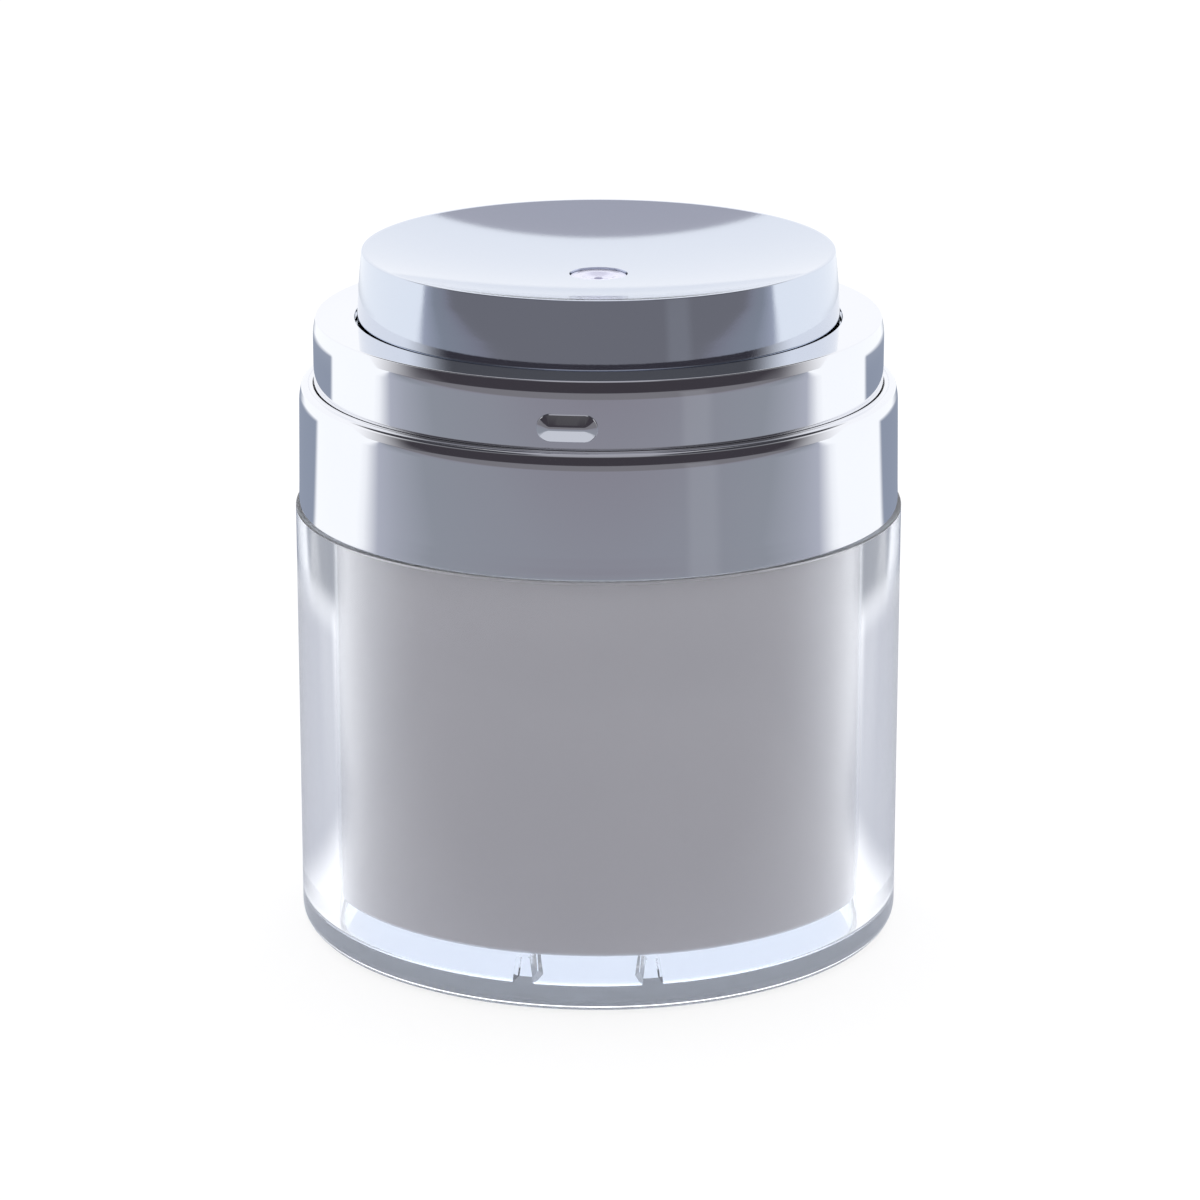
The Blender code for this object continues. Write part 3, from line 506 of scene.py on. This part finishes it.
def ribs(bore):
    """Pairs of tapered ribs that the cup stands on, from the wall inwards."""
    mesh = bmesh.new()
    for pair in range(RIB_PAIRS):
        for side in (-0.5, 0.5):
            verts = bmesh.ops.create_cube(mesh, size=MM)["verts"]
            bmesh.ops.scale(mesh, vec=RIB_SIZE, verts=verts)
            bmesh.ops.translate(mesh, vec=((bore - RIB_INWARDS) * MM, 0, RIB_MIDDLE * MM), verts=verts)
            tips = [vert for vert in verts if vert.co.z > RIB_MIDDLE * MM]
            bmesh.ops.scale(mesh, vec=(1, RIB_TAPER, 1), verts=tips)
            made = bmesh.ops.bevel(
                mesh,
                geom=[edge for edge in mesh.edges if any(vert in tips for vert in edge.verts)],
                offset=RIB_ROUNDING * MM,
                offset_type="OFFSET",
                segments=3,
                profile=0.5,
                affect="EDGES",
                material=-1,
            )
            rib = {vert for face in made["faces"] for vert in face.verts}
            rib |= {vert for vert in verts if vert.is_valid}
            rib |= {other for vert in list(rib) for edge in vert.link_edges for other in edge.verts}
            azimuth = math.tau * pair / RIB_PAIRS + RIB_TURN + side * RIB_SPREAD - math.pi / 2
            bmesh.ops.rotate(mesh, matrix=Matrix.Rotation(azimuth, 3, "Z"), verts=list(rib))
    return mesh


def thread(mesh):
    """Adds a closed helical ridge that stands out of the cup's neck."""
    root = CUP_NECK - THREAD_ROOT
    profile = [
        (root, -0.7),
        (CUP_NECK, -0.7),
        (THREAD_CREST, -0.3),
        (THREAD_CREST, 0.3),
        (CUP_NECK, 0.7),
        (root, 0.7),
    ]
    face = mesh.faces.new(place(mesh, [(radius, THREAD_START + height) for radius, height in profile]))
    geometry = [face, *face.edges, *face.verts]
    steps = round(THREAD_TURNS * TURN_STEPS)
    sweep(mesh, geometry, math.tau * THREAD_TURNS, steps, climb=THREAD_PITCH * MM * THREAD_TURNS)
    bmesh.ops.recalc_face_normals(mesh, faces=mesh.faces)


def inner_cup():
    low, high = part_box("inner_cup")
    base = low[2] / MM
    rim = high[2] / MM
    corners = [
        (CUP_VENT, base),
        (CUP_RADIUS, base, 0.6),
        (CUP_RADIUS, 47.05),
        (CUP_FLANGE, 47.05, 0.1),
        (CUP_FLANGE, 48.05, 0.1),
        (CUP_NECK, 48.05),
        (CUP_NECK, rim, 0.3),
        (CUP_BORE, rim, 0.3),
        (CUP_BORE, base + CUP_FLOOR, 0.8),
        (CUP_VENT, base + CUP_FLOOR),
    ]
    mesh = spin_round(outline(corners))
    thread(mesh)
    stands_for(piece("pearl_cup", mesh), "inner_cup")


# -------------------------------------------------------------------- collar


def shoulder_band():
    """The lower sleeve, with a bead at its foot, a soft crown and a V-shaped groove in its ledge."""
    low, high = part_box("shoulder_band")
    foot = low[2] / MM
    top = high[2] / MM
    corners = [
        (BAND_BORE, foot),
        (31.66, foot, 0.12),
        (31.65, foot + 0.5, 0.2),
        (31.6, foot + 1.8, 0.6),
        (31.45, top - 1.4, 0.35),
        (31.2, top - 0.1, 0.3),
        (30.55, top, 0.04),
        (30.47, top - 0.12),
        (30.39, top, 0.04),
        (LEDGE_BORE, top, 0.04),
        (LEDGE_BORE, top - LEDGE_DEPTH),
        (BAND_BORE, top - LEDGE_DEPTH),
    ]
    stands_for(piece("lower_sleeve", spin_round(outline(corners))), "shoulder_band")


def snap_nubs(height):
    """Low pills with sloping flanks and a soft ridge, bent round the upper sleeve, in a mesh of their own."""
    mesh = bmesh.new()
    half_a_segment = Matrix.Rotation(math.tau / (2 * NUB_SEGMENTS), 4, "Z")
    bmesh.ops.create_cone(
        mesh,
        cap_ends=True,
        segments=NUB_SEGMENTS,
        radius1=NUB_RADIUS * MM,
        radius2=NUB_RADIUS * MM,
        depth=NUB_WALL * MM,
        matrix=Matrix.Translation((0, 0, NUB_WALL / 2 * MM)) @ half_a_segment,
    )
    top = [face for face in mesh.faces if face.normal.z > 0.5]
    for inwards, outwards in NUB_INSETS:
        bmesh.ops.inset_region(mesh, faces=top, thickness=inwards * MM, depth=outwards * MM)
    for vert in mesh.verts:
        vert.co.x += math.copysign(NUB_STRETCH * MM, vert.co.x)
    for step in range(-6, 7):
        everything = mesh.verts[:] + mesh.edges[:] + mesh.faces[:]
        slice_point = (step * NUB_SLICE * MM, 0, 0)
        bmesh.ops.bisect_plane(mesh, geom=everything, plane_co=slice_point, plane_no=(1, 0, 0))
    for vert in mesh.verts:
        across, upward, outward = vert.co
        azimuth = across / (SLEEVE_RADIUS * MM) + NUB_TURN
        reach = (SLEEVE_RADIUS - NUB_ROOT) * MM + outward
        vert.co = (reach * math.sin(azimuth), -reach * math.cos(azimuth), height * MM + upward)
    everything = mesh.verts[:] + mesh.edges[:] + mesh.faces[:]
    sweep(mesh, everything, math.tau * (NUBS - 1) / NUBS, NUBS - 1, use_duplicate=True)
    return mesh


def neck_sleeve():
    """The upper sleeve, with its flat shoulder and the nubs that hold the overcap."""
    low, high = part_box("neck_sleeve")
    foot = low[2] / MM
    top = high[2] / MM
    corners = [
        (SLEEVE_BORE, foot),
        (SLEEVE_RADIUS, foot),
        (SLEEVE_RADIUS, top - 1.45, 0.4),
        (29.64, top, 0.14),
        (SLEEVE_OPENING, top, 0.15),
        (SLEEVE_OPENING, top - SLEEVE_WEB),
        (SLEEVE_BORE, top - SLEEVE_WEB, 0.3),
    ]
    mesh = spin_round(outline(corners))
    nubs = bpy.data.meshes.new("nubs")
    snap_nubs(foot + NUB_HEIGHT).to_mesh(nubs)
    mesh.from_mesh(nubs)
    bmesh.ops.recalc_face_normals(mesh, faces=mesh.faces)
    stands_for(piece("upper_sleeve", mesh), "neck_sleeve")


# -------------------------------------------------------------------- plunger


def dish_arc(mesh, radius, height):
    """Draws the dish's curve from its hole to its rim, round the centre of its sphere. Returns its ends."""
    centre = (0, 0, (height + math.sqrt(DISH_SPHERE**2 - radius**2)) * MM)
    first = mesh.verts.new((radius * MM, 0, height * MM))
    angle = math.asin(DISH_RIM / DISH_SPHERE) - math.asin(radius / DISH_SPHERE)
    made = bmesh.ops.spin(mesh, geom=[first], cent=centre, axis=(0, -1, 0), angle=angle, steps=DISH_STEPS)
    last = next(item for item in made["geom_last"] if isinstance(item, bmesh.types.BMVert))
    return first, last


def press_plate():
    low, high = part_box("press_plate")
    top = high[2] / MM
    foot = low[2] / MM
    flange_top = foot + 1.1

    def dish(radius):
        """The height of the dish's surface."""
        return top - DISH_DEPTH + DISH_SPHERE - math.sqrt(DISH_SPHERE**2 - radius**2)

    mesh = bmesh.new()
    first, last = dish_arc(mesh, DISH_HOLE, dish(DISH_HOLE))
    corners = [
        (24.72, top, 0.08),
        (25.06, 69.8, 1.5),
        (25.2, 67.2, 0.3),
        (25.25, 66.2, 0.2),
        (25.25, flange_top),
        (PLATE_FLANGE, flange_top, 0.15),
        (PLATE_FLANGE, foot, 0.15),
        (PLATE_INSIDE, foot, 0.15),
        (PLATE_INSIDE, top - 2.5, 1.0),
        (20.0, dish(20.0) - PLATE_WALL, 1.0),
        (SOCKET_RADIUS, dish(SOCKET_RADIUS) - PLATE_WALL),
        (SOCKET_RADIUS, SOCKET_FOOT, 0.15),
        (SOCKET_BORE, SOCKET_FOOT, 0.15),
        (SOCKET_BORE, dish(SOCKET_BORE) - PLATE_WALL),
        (DISH_HOLE, dish(DISH_HOLE) - PLATE_WALL),
    ]
    verts = place(mesh, corners)
    for pair in zip([last, *verts], [*verts, first]):
        mesh.edges.new(pair)
    round_off(mesh, [*verts, last], [*corners, (DISH_RIM, top, 0.08)])
    stands_for(piece("dished_plate", spin_round(mesh)), "press_plate")


def nozzle_tip():
    low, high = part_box("nozzle_tip")
    foot = low[2] / MM
    top = high[2] / MM
    corners = [
        (TIP_ORIFICE, foot),
        (TIP_SPIGOT, foot, 0.1),
        (TIP_SPIGOT, foot + 0.5),
        (TIP_RADIUS, foot + 0.5, 0.1),
        (TIP_RADIUS, top, 0.12),
        (1.75, top, 0.12),
        (1.2, top - 0.22, 0.25),
        (TIP_ORIFICE, top - 0.3, 0.06),
    ]
    stands_for(piece("outlet_insert", spin_round(outline(corners), TIP_STEPS)), "nozzle_tip")


def return_spring():
    """A helix of round wire."""
    low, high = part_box("return_spring")
    wire = WIRE_RADIUS * MM
    length = high[2] - low[2]
    mesh = bmesh.new()
    start = Matrix.Translation((high[0] - wire, 0, low[2] + wire)) @ Matrix.Rotation(math.pi / 2, 4, "X")
    bmesh.ops.create_circle(mesh, cap_ends=True, segments=WIRE_SEGMENTS, radius=wire, matrix=start)
    everything = mesh.verts[:] + mesh.edges[:] + mesh.faces[:]
    steps = SPRING_TURNS * SPRING_STEPS
    sweep(mesh, everything, math.tau * SPRING_TURNS, steps, climb=length - 2 * wire)
    bmesh.ops.recalc_face_normals(mesh, faces=mesh.faces)
    spring = piece("spring_helix", mesh)
    stands_for(spring, "return_spring")
    joints = frame["record"]["behaviour"]["joints"]
    stroke = next(joint["range_m"][1] for joint in joints if joint["name"] == "press_stroke")
    1 - stroke / length
    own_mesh(spring)


outer_jar()
inner_cup()
shoulder_band()
neck_sleeve()
press_plate()
nozzle_tip()
return_spring()

for node, shown in frame["nodes"].items():
    shown.data.materials.clear()
    shown.data.materials.append(finishes[record_slots[node]])


# -------------------------------------------------------------------- studio

FLOOR_RADIUS = 3.0
FLOOR_LEVEL = -0.00005
CARD_RADIUS = 4.0
CARD_HOLE = 0.06
CARD_LEVEL = 0.0001
DISC_SIDES = 96

WHITE = (1, 1, 1)
CARD_STOPS = (
    (0.00, (0.20, 0.195, 0.215)),
    (0.14, (0.205, 0.20, 0.22)),
    (0.24, (0.26, 0.255, 0.30)),
    (0.38, (0.28, 0.29, 0.335)),
    (0.58, (0.29, 0.31, 0.355)),
    (0.70, (0.38, 0.40, 0.465)),
    (0.77, (0.45, 0.47, 0.55)),
    (0.83, (0.96, 0.98, 1.02)),
    (0.86, (1.06, 1.08, 1.11)),
)
FRONT_STOPS = (
    (0.02, (0.20, 0.195, 0.215)),
    (0.055, (0.05, 0.045, 0.055)),
    (0.19, (0.05, 0.045, 0.055)),
    (0.27, (0.10, 0.098, 0.105)),
    (0.40, (0.11, 0.108, 0.115)),
    (0.47, (0.20, 0.20, 0.22)),
    (0.65, (0.36, 0.36, 0.40)),
)


def from_axis(across, back):
    return across.maths("SQRT", across * across + back * back)


def close_by(across, back):
    """1 on the floor close to the jar, in front of it and behind it but not beside it."""
    beside = across.size() - back.size() * 0.9
    return (1 - beside.between(0.045, 0.07)) * (1 - from_axis(across, back).between(0.125, 0.15))


def painted_shade_behind_jar(across, back):
    """1 on the floor where a painted shade shows only through the acrylic, to the sides of a strip straight
    behind it.
    """
    aside = across.size()
    within = 1 - (aside - back * 1.1).between(0.04, 0.07)
    within = within * (1 - (aside + back * 0.5).between(0.22, 0.25)) * aside.between(0.075, 0.09)
    within = within * from_axis(across, back).between(0.13, 0.15)
    return within * back.between(0, 0.03) * (1 - back.between(0.25, 0.29))


def mirrored_patch(across, back):
    """1 on the darker patch that the metal's sides mirror from behind the jar."""
    beside = across.size() - back * 1.3
    distance = from_axis(across, back)
    ring = distance.between(0.13, 0.15) * (1 - distance.between(0.26, 0.38))
    return (1 - beside.between(-0.03, 0.0)) * ring


def floor():
    """White to the camera, with the jar's soft shadow. Where it is mirrored or seen through acrylic, it glows
    with painted light and painted shade.
    """
    mesh = bmesh.new()
    bmesh.ops.create_circle(mesh, cap_ends=True, radius=FLOOR_RADIUS, segments=DISC_SIDES)
    bmesh.ops.translate(mesh, vec=(0, 0, FLOOR_LEVEL), verts=mesh.verts)
    ground = piece("floor", mesh)
    material = bpy.data.materials.new("white_floor")
    tree = Tree(material)
    seen, mirrored, through = tree.light_path()
    lit = tree.node("ShaderNodeBsdfDiffuse", {}, {"Color": (0.9, 0.9, 0.9, 1)})
    across, back, _ = tree.parts(tree.point())
    distance = from_axis(across, back)
    # Seen through the acrylic the floor glows with painted shade close in front of the jar and with painted
    # light, brighter than white, further off and behind it.
    ahead = tree.blend(distance.between(0.03, 0.3), (0.78, 0.765, 0.795), (1.2, 1.19, 1.22))
    seen_through = tree.blend(back.between(-0.06, 0.02), ahead, (1.35, 1.37, 1.42))
    tone = tree.blend(through, WHITE, seen_through)
    # Painted shade: grey floor close to the jar, mirrored in the card's hole and seen through the acrylic
    # behind the jar.
    painted_shade_near = close_by(across, back) * (mirrored + through * back.between(0, 0.02))
    tone = tree.blend(painted_shade_near, tone, (0.60, 0.62, 0.69))
    # Painted shade: a dark blue-grey patch on the floor behind the jar, seen only through the acrylic.
    tone = tree.blend(painted_shade_behind_jar(across, back) * through, tone, (0.30, 0.32, 0.37))
    # Painted light: the floor right under the jar glows bright and bluish through the acrylic foot.
    under = through * (1 - distance.between(0.031, 0.034))
    glow = tree.glow(tree.blend(under, tone, (1.25, 1.32, 1.48)))
    glowing = seen * 0.82 + mirrored + through
    tree.surface(tree.node("ShaderNodeMixShader", {}, {0: glowing, 1: lit, 2: glow}))
    ground.data.materials.append(material)


def reflected_floor():
    """A card round the jar that only mirrored rays meet: grey in front, white from the jar backwards."""
    mesh = bmesh.new()
    bmesh.ops.create_circle(mesh, radius=CARD_RADIUS, segments=DISC_SIDES)
    bmesh.ops.create_circle(mesh, radius=CARD_HOLE, segments=DISC_SIDES)
    bmesh.ops.bridge_loops(mesh, edges=mesh.edges[:])
    bmesh.ops.translate(mesh, vec=(0, 0, CARD_LEVEL), verts=mesh.verts)
    card = piece("reflected_card", mesh)
    material = bpy.data.materials.new("reflected_card")
    tree = Tree(material)
    across, back, _ = tree.parts(tree.point())
    tone = tree.ramp(back.between(-0.40, 0.10, "LINEAR"), CARD_STOPS)
    azimuth = across.maths("ARCTAN2", across, -1 * back)
    strip = azimuth.between(0.52, 0.59) * (1 - azimuth.between(0.70, 0.79))
    tone = tree.blend(0.13 * strip, tone, (0.55, 0.57, 0.62))
    tone = tree.blend(close_by(across, back), tone, (0.62, 0.64, 0.70))
    tone = tree.blend(mirrored_patch(across, back), tone, (0.29, 0.33, 0.42))
    tree.surface(tree.glow(tone))
    card.data.materials.append(material)
    card.visible_camera = False
    card.visible_diffuse = False
    card.visible_transmission = False
    card.visible_shadow = False


def surroundings():
    """White to the camera. Mirrored, it is a bright backdrop behind, blue-grey above it and dark in front."""
    world = bpy.data.worlds.new("studio")
    bpy.context.scene.world = world
    tree = Tree(world)
    across, back, upward = tree.parts(tree.point("Generated"))
    seen, mirrored, _ = tree.light_path()
    ahead = tree.ramp(upward, FRONT_STOPS)
    high = tree.blend(back.between(-0.1, 0.15), ahead, (0.49, 0.485, 0.54))
    low = tree.blend(back.between(-0.28, 0.28), ahead, (1.04, 1.05, 1.08))
    above_backdrop = (upward - across * across * 6.0).between(0.448, 0.456)
    reflection = tree.blend(above_backdrop, low, high)
    beside = across.size().between(0.25, 0.40) * upward.between(0.56, 0.66)
    reflection = tree.blend(beside, reflection, (0.05, 0.05, 0.06))
    lit = tree.blend(back.between(-0.2, 0.5), (1.1, 1.1, 1.13), (2.1, 2.12, 2.18))
    colour = tree.blend(mirrored, tree.blend(seen, lit, WHITE), reflection)
    background = tree.node("ShaderNodeBackground", {}, {"Color": colour, "Strength": 1.0})
    tree.surface(background, "ShaderNodeOutputWorld")


def camera():
    """The camera that was fitted to the photo."""
    lens = bpy.data.cameras.new("camera")
    lens.lens = 140.95
    lens.sensor_width = 36
    lens.shift_x = 0.00122
    lens.clip_start = 0.01
    shot = bpy.data.objects.new("camera", lens)
    shot.location = (0, -0.480, 0.178347)
    shot.rotation_euler = (math.radians(73.343), 0, 0)
    bpy.context.scene.collection.objects.link(shot)
    bpy.context.scene.camera = shot


floor()
reflected_floor()
surroundings()
camera()
bpy.context.scene.view_settings.view_transform = "Standard"
